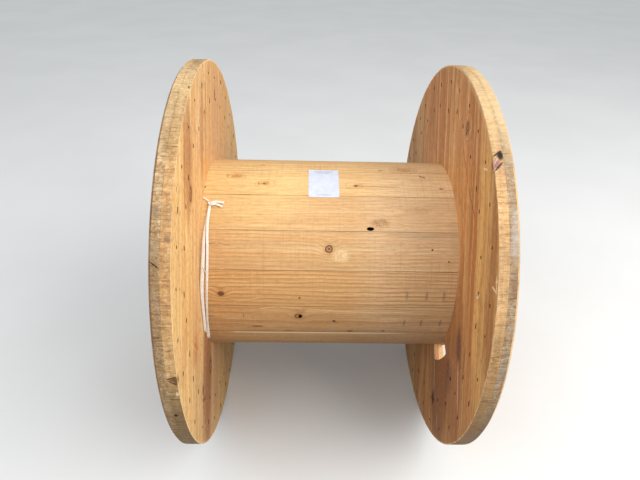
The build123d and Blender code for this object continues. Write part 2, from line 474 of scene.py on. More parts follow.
def barrel_material(look):
    """The staves of the barrel, planed round, with the machine's faint marks."""
    look = look | {key: by_angle(BARREL_MM, look[key]) for key in SPOT_LISTS}
    look["scratches"] = by_angle(BARREL_MM, look["scratches"], BOTH_ENDS)
    s = Shader("barrel_wood")
    x, y, z = s.split(s.point())
    radius = s.vector("LENGTH", s.join(0, y, z))
    angle = s.math("DEGREES", s.math("ARCTAN2", z, s.times(y, -1)))
    step = 360 / STAVES
    turned = s.math("DIVIDE", s.math("MODULO", s.plus(angle, 720 - FIRST_SEAM), 360), step)
    board = s.math("FLOOR", turned)
    across = s.times(s.minus(s.math("FRACT", turned), 0.5), math.radians(step), radius)
    to_joint = s.minus(math.radians(step) / 2 * BARREL_MM, s.math("ABSOLUTE", across))
    arc = s.times(angle, math.radians(1) * BARREL_MM)
    place = s.join(x, arc, 0)
    spot = (x, across, s.minus(BARREL_MM, radius))
    colour, height, fibre, shine = wood(s, place, spot, board, to_joint, look)

    # Marks of the machine: fine lines across the grain, and a few grey rubs
    lines = s.noise(s.join(x, arc, board), (0.2, 0.004, 1))
    patches = s.noise(s.join(x, arc, 1), (0.004, 0.008, 3))
    lines = s.times(s.ease(lines, 0.52, 0.68), s.ease(patches, 0.35, 0.6))
    colour = s.mix(s.times(lines, 0.13), colour, look["late"])
    colour = spots(s, colour, place, look["rubs"], 0.2, 1.2)

    # The edge of the stave below the lowest seam in front stands a little proud; the pale line along it is a
    # painted highlight
    painted_highlight = s.ease(s.apart(arc, math.radians(HIGHLIGHT_ANGLE) * BARREL_MM), 1.4, 3.8, 0.95, 0)
    painted_highlight = s.times(painted_highlight, s.ease(x, HIGHLIGHT_FROM, HIGHLIGHT_FROM + 30), s.ease(x, HIGHLIGHT_TO - 60, HIGHLIGHT_TO, 1, 0))
    colour = s.mix(painted_highlight, colour, PROUD_EDGE_HIGHLIGHT)
    height = s.minus(height, s.times(lines, 0.3))
    return s.finish(colour, s.ease(fibre, 0.2, 0.8, 0.42, 0.62), height, 0.25, Specular_IOR_Level=shine)


# The looks: where the marks of each board are. Those on a flange's face are along and across its boards,
# those on a rim or the barrel are along the axis, in millimetres, and round it, in degrees from the front.
def dark(marks, tone=DARK_MARK, strength=0.92):
    return [(*mark, tone, strength) for mark in marks]


def in_boards(y, z, lean=GRAIN_LEAN):
    """A place on a flange's face as a place along and across its boards."""
    turn = math.radians(lean)
    z = z - AXIS.z / MM
    return (y * math.sin(turn) + z * math.cos(turn), y * math.cos(turn) - z * math.sin(turn))


def at(y, z, *more):
    """A mark on an inner layer by its place on the flange."""
    return (*in_boards(y, z), *more)


def at_outer(y, z, *more):
    return (*in_boards(y, z, GRAIN_LEAN + RIGHT_ANGLE), *more)


def between(y, z, to_y, to_z, *more):
    """A scratch on an inner layer by the places of its ends."""
    return (*in_boards(y, z), *in_boards(to_y, to_z), *more)


PALE = (240, 202, 142)
YELLOW = (232, 190, 128)
TAN = (218, 172, 114)
ORANGE = (226, 166, 104)
AMBER = (234, 174, 110)
RED = (186, 116, 66)
BROWN = (164, 110, 68)
GREY_BROWN = (138, 116, 96)
PURPLE = (88, 60, 62)
PINK = (236, 200, 178)
CREAM = (252, 226, 178)
RIM_LIGHT = (240, 208, 154)
BRIGHT_WITH_PAINTED_LIGHT = (254, 220, 152)
PROUD_EDGE_HIGHLIGHT = (255, 240, 206)

BARREL_LOOK = {
    "seed": 3, "wander": 22, "ripple": 5, "heart_near": 40, "heart_far": 40, "swirl": 10,
    "ring_depth": 0.8, "red_depth": 0.6, "fibre_depth": 0.5, "fleck_depth": 0.3, "joint_depth": 0.85,
    "late": (160, 106, 60), "fibre": (190, 138, 86), "red": (220, 168, 106), "light": (252, 222, 170),
    "pale": (244, 206, 150),
    "grain": [
        (0.92, 8.5, 0.9), (0.84, 7, 0.5), (0.1, 7.5, 0.28), (0.25, 9, 0.18), (0.7, 8, 0.32),
        (0.9, 6, 0.7), (0.2, 7, 0.6), (0.6, 9, 0.6), (0.85, 6.5, 0.8), (0.1, 8, 0.6), (0.7, 7, 0.7),
        (0.3, 9, 0.5), (0.85, 7, 0.8), (0.2, 6, 0.6), (0.6, 8, 0.6), (0.85, 9, 0.35), (0.6, 12, 0.6)],
    "boards": [
        TAN, (214, 175, 122), (218, 178, 125), PALE, PALE, YELLOW, TAN, PALE, YELLOW, ORANGE, YELLOW,
        PALE, TAN, YELLOW, PALE, TAN, (214, 172, 122)],
    "bands": [
        (-60, -5, 130, 22, (196, 146, 94), 0.5), (-190, 17, 110, 9, PALE, 0.4),
        (225, 30, 170, 380, (248, 214, 172), 0.4), (-200, 76, 170, 150, (255, 224, 150), 0.35)],
    "knots": [(-2, 35.2, 8, 8), (-252, 9.9, 6.5, 5.5), (-71, -4.6, 8, 7)],
    "soft": [
        (-158, 74.5, 9, 8), (192, 91.4, 26, 14), (-227, 80.8, 20, 13), (66.5, 73.8, 11, 7),
        (131, 89.4, 8, 4), (-171, 93.7, 8, 5)],
    "curls": [
        (26, 31.5, 24, 18, CREAM, 0.7), (118, 49.5, 26, 14, (142, 84, 44), 0.9),
        (205, 57, 40, 12, SOFT_EDGE, 0.3), (-120, -4, 60, 34, TAN, 0.5)],
    "marks": dark([
        (-69, 7.8, 2.4, 2.4), (15, -8.4, 4.5, 3.5), (238, 35.5, 2.6, 2.4), (277, 29.2, 2.2, 2.2),
        (-2, 35.2, 1.8, 2.4)])
        + dark([
            (-170, -13.6, 15, 2.8), (57, -18, 8, 3.6), (139, -17.6, 5, 2.8), (64, 73.8, 5.5, 3.4),
            (272, 72.5, 6, 2.4), (129, 89.2, 5, 1.8), (232, 83.1, 9, 2), (-158, 74.5, 4, 2.6),
            # The last of these, at the barrel's left end, is painted shade in the gap against the flange.
            (-95, -18.2, 14, 1.4), (-252, 9.9, 5, 4), (-298.5, 71, 1.6, 3.6)], (88, 50, 28), 0.85)
        + dark([
            (-172, 74.4, 2.2, 7), (20, -9.6, 6, 2.4), (-251, 81, 1.6, 8), (-190, 93, 8, 1.4),
            (-228, 80.6, 10, 1.2)], (150, 92, 46), 0.6),
    "holes": [(94, 46.4, 9, 5), (-67, -4.8, 4.2, 5.5)],
    "ovals": [(-156, 74.3, 23, 15), (60, 74, 20, 12), (190, 91.4, 36, 22)],
    "scratches": [
        (67, 73.8, 176, 73.2, 1.4, (158, 100, 52), 0.7), (224, 84.4, 240, 81.6, 1.6, (120, 74, 40), 0.8),
        (-296, 36.5, -262, 38, 1.2, (120, 70, 36), 0.7), (-260, 38, -225, 36.2, 1.2, (160, 100, 54), 0.5),
        (-298, -5.2, -270, -5.3, 1.2, (96, 56, 30), 0.7), (-202, -3, -202, -6.6, 1.2, (130, 78, 44), 0.6),
        (-165, 0.5, -120, 2.2, 1.1, CREAM, 0.55), (-120, 2.2, -60, 0.8, 1.1, CREAM, 0.55),
        (-60, 0.8, 20, -0.6, 1.1, CREAM, 0.45), (20, -0.6, 120, -1.8, 1.1, CREAM, 0.45),
        (120, -1.8, 280, 0.6, 1.1, CREAM, 0.4), (-225, 5, -150, 8.2, 1, CREAM, 0.35)],
    "rubs": [
        (184, 9.8, 4.5, 15, GREY_BROWN, 0.55), (231, 9.8, 4.5, 17, GREY_BROWN, 0.6),
        (272, 9.8, 4.5, 18, GREY_BROWN, 0.6), (187, -9.4, 4, 15, GREY_BROWN, 0.75),
        (228, -9.4, 4, 15, GREY_BROWN, 0.8), (275, -9.4, 4, 15, GREY_BROWN, 0.8),
        (225, 42.6, 100, 10, GREY_BROWN, 0.28), (292, 40, 14, 90, GREY_BROWN, 0.16),
        (-294, 30, 14, 60, GREY_BROWN, 0.3)],
}
FLANGE_LOOK = {
    "wander": 26, "ripple": 7, "heart_near": 45, "heart_far": 60, "swirl": 14, "ring_depth": 0.7,
    "red_depth": 0.7, "fibre_depth": 0.5, "fleck_depth": 0.5, "joint_depth": 0.75, "late": (166, 102, 56),
    "fibre": (186, 126, 74), "red": (206, 144, 86), "light": (248, 212, 156), "pale": (246, 208, 146),
    "rim": (226, 188, 132), "rim_dark": (166, 122, 78), "end": (190, 160, 122), "end_dark": (108, 84, 60),
    # The chamfer's colour is painted shade, for a chamfer turned away from the light.
    "end_light": (208, 184, 148), "chamfer": (138, 86, 56), "rim_rough": 1, "seam_depth": 0.55,
    "bands": [], "knots": [], "soft": [], "curls": [], "marks": [], "holes": [], "ovals": [],
    "scratches": [], "tints": [], "rim_marks": [], "rim_cracks": [],
    "grain": [
        (0.2, 8, 0.7), (0.85, 11, 0.6), (0.3, 9, 0.8), (0.75, 7, 0.7), (0.15, 12, 0.7), (0.6, 9, 0.6),
        (0.9, 8, 0.8), (0.3, 10, 0.6), (0.7, 7, 0.7)],
}
LEFT_INNER = FLANGE_LOOK | {
    "seed": 11, "wander": 34, "ripple": 12, "ring_depth": 0.4, "fibre_depth": 0.45, "fleck_depth": 0.9,
    "red": (232, 170, 100), "pale": (254, 222, 156), "rim": (216, 172, 116), "rim_dark": (156, 110, 68),
    "end_light": (232, 202, 154),
    # Its boards are paler than the right inner face's, partly the wood's own tone and partly painted light,
    # for this face being turned to the light.
    "boards": [BRIGHT_WITH_PAINTED_LIGHT, BRIGHT_WITH_PAINTED_LIGHT, PALE, PALE, PALE, YELLOW, PALE, BRIGHT_WITH_PAINTED_LIGHT, PALE],
    "grain": [
        (0.2, 8, 0.5), (0.85, 11, 0.4), (0.3, 13, 0.35), (0.75, 7, 0.5), (0.15, 12, 0.5), (0.6, 9, 0.4),
        (0.9, 8, 0.6), (0.3, 10, 0.5), (0.7, 7, 0.5)],
    "bands": [
        (225, -348, 150, 38, RED, 0.5), (230, -376, 120, 8, BROWN, 0.6), (210, -330, 120, 5, BROWN, 0.6),
        (350, -20, 170, 66, (214, 158, 112), 0.5), at(-37, 775, 44, 18, (236, 156, 76), 0.6),
        at(-87, 875, 110, 13, CREAM, 0.55), (-60, -385, 150, 26, (236, 180, 112), 0.5),
        (-180, -400, 90, 20, (228, 172, 114), 0.5), (-150, -262, 120, 36, (230, 178, 122), 0.45),
        (300, -206, 130, 18, RED, 0.7), (250, -250, 60, 10, ORANGE, 0.6),
        (330, -160, 110, 14, (204, 150, 96), 0.7), (-330, -30, 170, 46, (206, 160, 118), 0.7),
        (-320, -146, 215, 62, (166, 112, 74), 0.9), (300, -120, 260, 26, TAN, 0.6),
        (40, -330, 140, 12, PALE, 0.6), (0, -420, 200, 20, PALE, 0.5)],
    "knots": [at(-222, 790, 15, 9), at(-331, 313, 10, 5), at(-232, 290, 15, 11)],
    "soft": [at(-345, 463, 24, 13), at(-195, 900, 34, 13), at(-212, 840, 24, 12)],
    "curls": [
        (225, -348, 150, 36, (150, 80, 44), 0.6), at(-345, 463, 46, 26, (206, 112, 56), 1),
        (-130, -330, 130, 64, (212, 152, 92), 0.5), at(-345, 463, 30, 16, ORANGE, 0.5),
        at(-232, 294, 34, 22, (104, 72, 50), 0.9), (-330, -150, 120, 30, (120, 66, 40), 0.6)],
    "marks": dark([
        at(150, 890, 16, 5), at(-331, 313, 9, 4), at(-325, 853, 6, 2), at(-338, 285, 5, 3),
        at(-300, 640, 4, 2), at(-395, 672, 4, 2), (-314, -207, 6, 3), (-329, -208, 5, 2.6),
        (-344, -209, 5, 2.6), (-360, -212, 4, 2.4)]),
    "scratches": [
        between(-362, 490, -345, 455, 1.6, CREAM, 0.5),
        between(-350, 485, -328, 445, 2, (176, 92, 44), 0.7),
        (-262, -208, -480, -206, 2.2, (110, 66, 42), 0.7), (-190, -84, -480, -80, 2, CREAM, 0.5),
        between(-235, 610, -262, 560, 2.4, BROWN, 0.7),
        between(-205, 385, -290, 200, 2.4, (110, 66, 42), 0.7)],
    "tints": [(-310, 32, 14, 220, (234, 222, 216), 1), (-310, -10, 14, 130, (208, 206, 204), 1)],
    "rim_marks": [
        (-310, 78, 14, 120, RIM_LIGHT, 0.3), (-306, 35.8, 8, 6, (112, 94, 80), 0.75),
        (-303, 3.3, 6, 12, (112, 72, 46), 0.9), (-310, 3.5, 7, 5, (112, 72, 46), 0.8),
        (-317, -9, 6.5, 5.5, DARK_MARK, 1), (-304, -0.8, 4, 6, CREAM, 0.8), (-303, 72, 3, 4, BROWN, 0.7),
        (-303, 45, 3, 16, ORANGE, 0.5)],
    "rim_cracks": [
        (-304, 76.8, -301, 75.6, 1.6, DARK_MARK, 0.9), (-319, 11.2, -301, 11.6, 1.3, (92, 66, 44), 0.7),
        (-322, 3.7, -300, 4.5, 1.5, DARK_MARK, 0.85), (-320, 3.4, -300, 2, 1.5, DARK_MARK, 0.85),
        (-320, 62, -300, 61.4, 1, (150, 112, 76), 0.6)],
}
RIGHT_INNER = FLANGE_LOOK | {
    "seed": 29, "red": (196, 128, 74), "late": (146, 84, 46), "rim": (224, 180, 126),
    "rim_dark": (170, 124, 80), "end_light": (236, 206, 160), "rim_rough": 0.55, "seam_depth": 0.3,
    "boards": [TAN, ORANGE, AMBER, ORANGE, ORANGE, AMBER, YELLOW, TAN, ORANGE],
    # The two dark brown bands low on the face, at -240 and -340 along, are partly the wood's darker tone and
    # partly painted shade near the ground.
    "bands": [
        (40, -402, 430, 36, (250, 200, 126), 0.95), (0, -460, 400, 16, BROWN, 0.55),
        (-240, -240, 240, 80, (146, 92, 60), 0.6), (330, -90, 230, 6, PALE, 0.9),
        (330, -46, 260, 16, RED, 0.5), (30, -352, 300, 12, RED, 0.6), (150, -325, 300, 7, RED, 0.7),
        (40, -300, 160, 16, TAN, 0.7), (-340, -110, 190, 90, (126, 78, 50), 0.75),
        (-200, -276, 50, 20, (120, 80, 70), 0.5)],
    "knots": [at(-100, 906, 9, 7), at(-237, 181, 11, 7)],
    "curls": [
        (-178, -274, 52, 24, PURPLE, 0.9), (-280, -206, 56, 36, PURPLE, 0.7),
        at(-237, 181, 30, 16, DARK_MARK, 0.8), at(-100, 900, 22, 16, PURPLE, 0.7),
        (80, -330, 60, 14, SOFT_EDGE, 0.5)],
    "marks": dark([
        at(-100, 890, 5, 4), at(-237, 178, 18, 6), (-281, -219, 5, 4), at(-326, 352, 7, 4),
        at(-241, 180, 5, 10)])
        + dark([(-170, -274, 24, 6), (-198, -282, 16, 4), (-262, -202, 26, 9)], (104, 68, 60), 0.42),
    "scratches": [
        between(-344, 437, -412, 325, 3, PINK, 0.9), between(-190, 282, -236, 200, 3, PINK, 0.75),
        between(-428, 738, -447, 706, 2.8, CREAM, 0.95), between(-374, 650, -362, 632, 3, CREAM, 0.95),
        between(-270, 880, -248, 872, 2.6, CREAM, 0.85), (-6, -468, -15, -491, 2.6, CREAM, 0.95),
        (4, -485, 9, -499, 2.4, CREAM, 0.95), (-36, -400, -48, -389, 2, CREAM, 0.95),
        between(-95, 856, -180, 800, 2, (120, 70, 44), 0.7),
        between(-180, 800, -256, 764, 2.4, (120, 70, 44), 0.7),
        between(-140, 860, -215, 700, 2, RED, 0.6), between(-365, 500, -392, 430, 3, PURPLE, 0.6),
        between(-290, 180, -310, 140, 3, PINK, 0.4)],
    "tints": [(310, 2, 14, 150, (222, 220, 216), 1), (310, 66, 14, 120, (240, 239, 244), 1)],
    "rim_marks": [
        (310, 76, 14, 170, RIM_LIGHT, 0.45), (305, 53.8, 10, 13, (146, 104, 98), 0.9),
        (314.5, 56, 7, 12, DARK_MARK, 0.97), (311, -15, 14, 3, RED, 0.6),
        (310, -19, 12, 14, (160, 116, 96), 0.5)],
    "rim_cracks": [
        (300, 55.6, 319, 57.4, 1.9, (60, 36, 34), 0.9), (300, 52, 318, 54.4, 1.9, (60, 36, 34), 0.9),
        (300, 53.8, 310, 55.4, 1.3, (216, 170, 160), 0.7),
        (300, 64.8, 320, 65.6, 1.4, (200, 130, 96), 0.7),
        (300, 10.4, 320, 10.8, 1.5, (110, 78, 52), 0.75),
        (300, -14.4, 320, -14.8, 1.8, (150, 84, 74), 0.7)],
}
LEFT_OUTER = FLANGE_LOOK | {
    "seed": 47, "rim": (222, 186, 132), "rim_dark": (150, 114, 74), "end": (210, 176, 130),
    "end_dark": (112, 84, 58), "end_light": (226, 208, 176),
    "boards": [YELLOW, TAN, PALE, YELLOW, ORANGE, YELLOW, PALE, TAN],
    "knots": [at_outer(120, 700, 13, 10), at_outer(-260, 560, 9, 8)],
    "soft": [at_outer(40, 240, 30, 18), at_outer(-120, 860, 26, 14)],
    "marks": dark([at_outer(-200, 300, 9, 4)]),
    "rim_marks": [
        (-331, 74, 14, 170, RIM_LIGHT, 0.2), (-331, 41.8, 9, 14, GREY_BROWN, 0.65),
        (-330, 20, 14, 190, (120, 92, 64), 0.5), (-330, -6, 10, 26, (196, 166, 124), 0.4)],
    "rim_cracks": [
        (-340, 31.4, -320.5, 29.8, 1.5, DARK_MARK, 0.95), (-339, 14.4, -323, 14.8, 1.4, DARK_MARK, 0.6)],
}
RIGHT_OUTER = FLANGE_LOOK | {
    "seed": 61, "end": (180, 164, 142), "end_dark": (112, 92, 74), "end_light": (198, 192, 180),
    # The chamfer's colour here is a painted highlight, for a chamfer turned to the light.
    "chamfer": (232, 188, 130), "seam_depth": 0.3,
    "boards": [TAN, YELLOW, PALE, ORANGE, YELLOW, TAN, YELLOW, ORANGE],
    "knots": [at_outer(-150, 650, 12, 9), at_outer(300, 420, 10, 9)],
    "soft": [at_outer(-60, 300, 28, 16), at_outer(200, 780, 24, 15)],
    "marks": dark([at_outer(220, 350, 9, 4)]),
    "tints": [(331, 66, 14, 120, (242, 241, 244), 1)],
    "rim_marks": [
        (331, 76, 14, 190, RIM_LIGHT, 0.5), (331, 38, 9, 60, (196, 196, 194), 0.28),
        (331, -14, 10, 90, (138, 118, 86), 0.5), (331, 27, 10, 34, (120, 92, 74), 0.5),
        (331, 8, 10, 40, (134, 124, 112), 0.45)],
    "rim_cracks": [
        (321, 64.7, 340, 64.4, 1.3, (196, 120, 92), 0.6),
        (321, 53.8, 340, 53.6, 1.2, (150, 112, 78), 0.6), (321, 24, 336, 24.6, 1.4, (96, 70, 52), 0.6),
        (321, -15.2, 340, -17.5, 1.8, (120, 72, 70), 0.7)],
}


def steel_material():
    s = Shader("zinc_steel")
    point = s.point()
    spangle = s.noise(point, 0.25, 3, 0.6)
    rust = s.ease(s.noise(point, 0.12, 5, 0.7), 0.6, 0.75)
    colour = s.mix(s.ease(spangle, 0.3, 0.7), (150, 152, 154), (196, 198, 200))
    colour = s.mix(rust, colour, (122, 74, 44))
    return s.finish(colour, s.ease(spangle, 0.3, 0.7, 0.32, 0.5), spangle, 0.1, Metallic=1)


def nail_material():
    s = Shader("nail_steel")
    stain = s.noise(s.point(), 0.4, 3, 0.6)
    colour = s.mix(s.ease(stain, 0.3, 0.7), (22, 14, 10), (52, 34, 24))
    return s.finish(colour, s.ease(stain, 0.3, 0.7, 0.65, 0.85), stain, 0.2, Specular_IOR_Level=0.15)


# The label's rules in millimetres: their middle along the drum, their place round it, half their length
RULES = ((-14, 381, 24), (-14, 376.5, 24), (-14, 372, 14), (-14, 290.5, 17))
RULE_TONE = (120, 124, 148)


def paper_material():
    """Bare paper with plain thin rules, where a form has its printed lines."""
    s = Shader("label_paper")
    point = s.point()
    cloud = s.noise(point, 0.06, 4, 0.6)
    fine = s.noise(point, 1.5, 3, 0.6)
    colour = s.mix(s.ease(cloud, 0.3, 0.7), (200, 205, 220), (212, 216, 230))
    x, y, z = s.split(point)
    arc = s.times(s.math("ARCTAN2", z, s.times(y, -1)), BARREL_MM)
    for middle, place, half in RULES:
        beside = s.ease(s.apart(arc, place), 0.5, 1, 0.75, 0)
        along = s.ease(s.apart(x, middle), half - 0.5, half + 0.5, 1, 0)
        colour = s.mix(s.times(beside, along), colour, RULE_TONE)
    return s.finish(colour, s.ease(fine, 0.2, 0.8, 0.55, 0.7), fine, 0.08)


def tape_material():
    s = Shader("cotton_tape")
    point = s.point()
    x, _, z = s.split(point)
    weave = s.times(s.math("SINE", s.times(x, 9)), s.math("SINE", s.times(z, 7)))
    soft = s.noise(point, 0.12, 3, 0.6)
    colour = s.mix(s.ease(soft, 0.3, 0.7), (250, 246, 240), (238, 230, 218))
    colour = s.veil(colour, weave, -1, 1, 0.12, (186, 172, 156))
    return s.finish(colour, 0.85, weave, 0.3, 0.0004)


def dress_cad():
    steel = steel_material()
    materials = {
        "left_inner": flange_material("left_inner_wood", INNER_LAYER, LEFT_INNER),
        "left_outer": flange_material("left_outer_wood", OUTER_LAYER, LEFT_OUTER),
        "right_inner": flange_material("right_inner_wood", INNER_LAYER, RIGHT_INNER),
        "right_outer": flange_material("right_outer_wood", OUTER_LAYER, RIGHT_OUTER),
        "stave": barrel_material(BARREL_LOOK),
        "tie_bolts": steel, "washers": steel, "nuts": steel,
    }
    for name, node in frame["nodes"].items():
        for start, material in materials.items():
            if name.startswith(start):
                for slot in node.material_slots:
                    slot.material = material


# Pieces that the solids don't have
def add_piece(name, mesh, material):
    mesh.materials.clear()
    mesh.materials.append(material)
    piece = new_object(name, mesh)
    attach(piece, "root")
    return piece


def mesh_from(name, points, faces, smooth=True, turned=False):
    """A mesh from its points and faces. Its faces point the other way if they are turned."""
    mesh = bpy.data.meshes.new(name)
    mesh.from_pydata([tuple(p) for p in points], [], faces)
    if turned:
        mesh.flip_normals()
    mesh.polygons.foreach_set("use_smooth", [smooth] * len(mesh.polygons))
    mesh.update()
    return mesh


def tube_faces(first, rings, count):
    """The faces of a closed tube of rings of points, each of the same count, after the first point."""
    faces = []
    for start in range(first, first + count * (rings - 1), count):
        for i in range(count):
            a, b = start + i, start + (i + 1) % count
            faces.append((a, b, b + count, a + count))
    last = first + count * (rings - 1)
    return faces + [tuple(reversed(range(first, first + count))), tuple(range(last, last + count))]


# The nails: two rings of points bent over along the grain on each inner face, and their heads outside.
# Along a point it says how far, how wide and how high, and from a head's rim inwards how wide and how high.
NAIL_SIDES = (("left", -1, 101), ("right", 1, 202))
NAIL_RINGS = (0.398, 0.461)
NAILS = 32
OFF_RING = 0.005
OFF_PLACE = 1.6
POINT_LENGTHS = (0.006, 0.014)
POINT_LEAN = 12
POINT_W = 0.003
POINT_H = 0.0009
POINT_TOP = 0.6
POINT_SHAPE = ((0, 0.8, 1), (0.15, 1, 1), (0.6, 0.85, 1), (0.9, 0.5, 0.6), (1, 0.12, 0.6))
HEAD_R = 0.0045
HEAD_H = 0.0007
HEAD_SHAPE = ((1, 0), (1, 0.7), (0.8, 1), (0.3, 0.9))
HEAD_CORNERS = 12


def nail_places(seed):
    """Each nail's radius and angle, and the length, the lean and the way of its bent point."""
    chance = random.Random(seed)
    for radius in NAIL_RINGS:
        for i in range(NAILS):
            yield (radius + chance.uniform(-OFF_RING, OFF_RING),
                   360 / NAILS * i + chance.uniform(-OFF_PLACE, OFF_PLACE),
                   chance.uniform(*POINT_LENGTHS), chance.uniform(-POINT_LEAN, POINT_LEAN),
                   chance.choice((-1, 1)))


def nail_points(name, side, seed, material):
    points, faces = [], []
    for radius, angle, length, lean, way in nail_places(seed):
        turn = math.radians(GRAIN_LEAN + lean)
        along = Vector((0, math.sin(turn), math.cos(turn))) * way
        across = Vector((0, along.z, -along.y))
        start = around(side * INNER_X, radius, angle)
        faces += tube_faces(len(points), len(POINT_SHAPE), 4)
        for far, wide, high in POINT_SHAPE:
            middle = start + along * (length * far)
            half = across * (POINT_W / 2 * wide)
            top = middle + Vector((-side * POINT_H * high, 0, 0))
            points += [middle - half, top - half * POINT_TOP, top + half * POINT_TOP, middle + half]
    mesh = mesh_from(f"nail_points_{seed}", points, faces, turned=side > 0)
    add_piece(f"{name}_nail_points", mesh, material)


def nail_heads(name, side, seed, material):
    points, faces = [], []
    for radius, angle, *_ in nail_places(seed):
        centre = around(side * OUTER_X, radius, angle)
        faces += tube_faces(len(points), len(HEAD_SHAPE), HEAD_CORNERS)
        for wide, high in HEAD_SHAPE:
            for i in range(HEAD_CORNERS):
                turn = math.tau * i / HEAD_CORNERS
                points.append(centre + Vector((side * HEAD_H * high, HEAD_R * wide * math.cos(turn),
                                               HEAD_R * wide * math.sin(turn))))
    mesh = mesh_from(f"nail_heads_{seed}", points, faces, turned=side < 0)
    add_piece(f"{name}_nail_heads", mesh, material)


# The paper label on the barrel: its size and place, the paper's gap, its waves and its lifted corners
LABEL_W, LABEL_L = 0.074, 0.105
LABEL_X = -0.051
LABEL_TOP = 89
LABEL_SEED = 5
LABEL_COLUMNS, LABEL_ROWS = 24, 32
LABEL_GAP = 0.0004
WAVES = 4
WAVE_H = 0.00008
WAVE_TURNS = (20, 70)
WAVE_SIZE = 3
CORNER_H = 0.0012
CORNER_FROM = 0.8


def near_edge(share):
    """Rises from 0 to 1 on the last bit before either edge."""
    return max(0, abs(share - 0.5) * 2 - CORNER_FROM) / (1 - CORNER_FROM)


def label(material):
    chance = random.Random(LABEL_SEED)
    waves = [(chance.uniform(*WAVE_TURNS), chance.uniform(*WAVE_TURNS), chance.uniform(0, 6))
             for _ in range(WAVES)]
    points, faces = [], []
    for row in range(LABEL_ROWS + 1):
        for column in range(LABEL_COLUMNS + 1):
            u, v = column / LABEL_COLUMNS, row / LABEL_ROWS
            wave = sum(math.sin(WAVE_SIZE * (a * u * LABEL_W + b * v * LABEL_L) + c) for a, b, c in waves)
            radius = BARREL_R + LABEL_GAP + WAVE_H * wave + CORNER_H * near_edge(u) * near_edge(v)
            angle = LABEL_TOP - math.degrees(v * LABEL_L / BARREL_R)
            points.append(around(LABEL_X + u * LABEL_W, radius, angle))
    for row in range(LABEL_ROWS):
        for column in range(LABEL_COLUMNS):
            a = row * (LABEL_COLUMNS + 1) + column
            below = a + LABEL_COLUMNS + 1
            faces.append((a, below, below + 1, a + 1))
    piece = add_piece("paper_label", mesh_from("paper_label", points, faces), material)


# The cotton tape: the routes of its stretches, in millimetres, near those of the tape's solids
TAPE_W = 6 * MM
TAPE_T = 1.1 * MM
TAPE_LIFT = 3
TAPE_OVER = 2.2


def on_barrel(x, angle, over=0):
    return around(x * MM, BARREL_R + (TAPE_LIFT + over) * MM, angle)


def hanging(x, gap, height):
    return Vector((x * MM, -BARREL_R - gap * MM, height * MM))


LONG_LEFT = [on_barrel(-281, 58.6), on_barrel(-285.5, 50), on_barrel(-289.5, 42), on_barrel(-290, 34.5),
             on_barrel(-291.5, 24), on_barrel(-295.5, 12), on_barrel(-295.5, 3), hanging(-295.5, 7, 470),
             hanging(-296, 9, 434)]
LONG_RIGHT = [on_barrel(-280.5, 58.6, TAPE_OVER), on_barrel(-283, 50, TAPE_OVER),
              on_barrel(-282, 42, TAPE_OVER), on_barrel(-280.5, 34.5, TAPE_OVER / 2), on_barrel(-281.5, 22),
              on_barrel(-285, 8.5), hanging(-288.5, 4.4, 482), hanging(-290, 4.8, 446),
              hanging(-291, 3.8, 410)]
TAIL_UPPER = [on_barrel(-271.5, 60.2, TAPE_OVER), on_barrel(-260, 60.3, TAPE_OVER),
              on_barrel(-248.5, 59.6, TAPE_OVER)]
TAIL_LOWER = [on_barrel(-271.5, 59.2), on_barrel(-261.5, 58.7), on_barrel(-252, 57.6)]
TAIL_LEFT = [on_barrel(-284.5, 60.8), on_barrel(-292, 62.2), on_barrel(-299, 63)]
TAILS = ((TAIL_UPPER, 1), (TAIL_LOWER, 1), (TAIL_LEFT, 0.6))
FIBRE = [on_barrel(-291.5, 25.2, 1), on_barrel(-288, 23.8, 1), on_barrel(-284, 22, 1)]
FIBRE_W = 1.6 * MM

# The band's section, in half widths across it and in thicknesses through it, and where its end flares out
SECTION = ((-1, -0.15), (-0.6, -0.5), (0, -0.45), (0.6, -0.5), (1, -0.15), (1, 0.15), (0.6, 0.5), (0, 0.4),
           (-0.6, 0.5), (-1, 0.15))
FLARE_FROM = 0.85

# The knot: its place, the half sizes of its winding line, and its wraps, each with its shift across the
# knot and its first and last point on that line
KNOT_X, KNOT_GAP, KNOT_ANGLE = -0.2775, 0.0052, 59.6
KNOT_HALF = (0.0068, 0.0052, 0.0026)
KNOT_TURNS = 1.5
KNOT_STEPS = 48
WRAPS = ((-0.003, 0, 16), (0, 16, 39), (0.003, 20, 48))
WRAP_WIDTH = 0.8
TAIL_TWIST, TAIL_FLARE = 12, 0.2


def smooth_path(points):
    """The line of a NURBS spline through the stretch of tape, as a list of points."""
    curve = bpy.data.curves.new("route", "CURVE")
    curve.dimensions = "3D"
    spline = curve.splines.new("NURBS")
    spline.points.add(len(points) - 1)
    for place, point in zip(spline.points, points):
        place.co = (*point, 1)
    spline.order_u = 3
    spline.use_endpoint_u = True
    spline.resolution_u = 8
    holder = bpy.data.objects.new("route", curve)
    mesh = bpy.data.meshes.new_from_object(holder)
    line = [v.co.copy() for v in mesh.vertices]
    bpy.data.objects.remove(holder)
    bpy.data.meshes.remove(mesh)
    return line


def ribbon(name, line, width, twist=0, flare=0, slack=0):
    """A flat woven band along a line, lying on the barrel or facing front where it hangs."""
    points = []
    for i, here in enumerate(line):
        way = (line[min(i + 1, len(line) - 1)] - line[max(i - 1, 0)]).normalized()
        outward = Vector((0, here.y, max(0, here.z - AXIS.z))).normalized()
        side = outward.cross(way).normalized()
        up = way.cross(side)
        share = i / (len(line) - 1)
        turn = math.radians(twist) * math.sin(math.tau * share)
        cos, sin = math.cos(turn), math.sin(turn)
        side, up = side * cos + up * sin, up * cos - side * sin
        end = flare * max(0, share - FLARE_FROM) / (1 - FLARE_FROM)
        half = width / 2 * (1 + end + slack * math.sin(math.pi * share) ** 2)
        points += [here + side * (across * half) + up * (through * TAPE_T) for across, through in SECTION]
    return mesh_from(name, points, tube_faces(0, len(line), len(SECTION)))


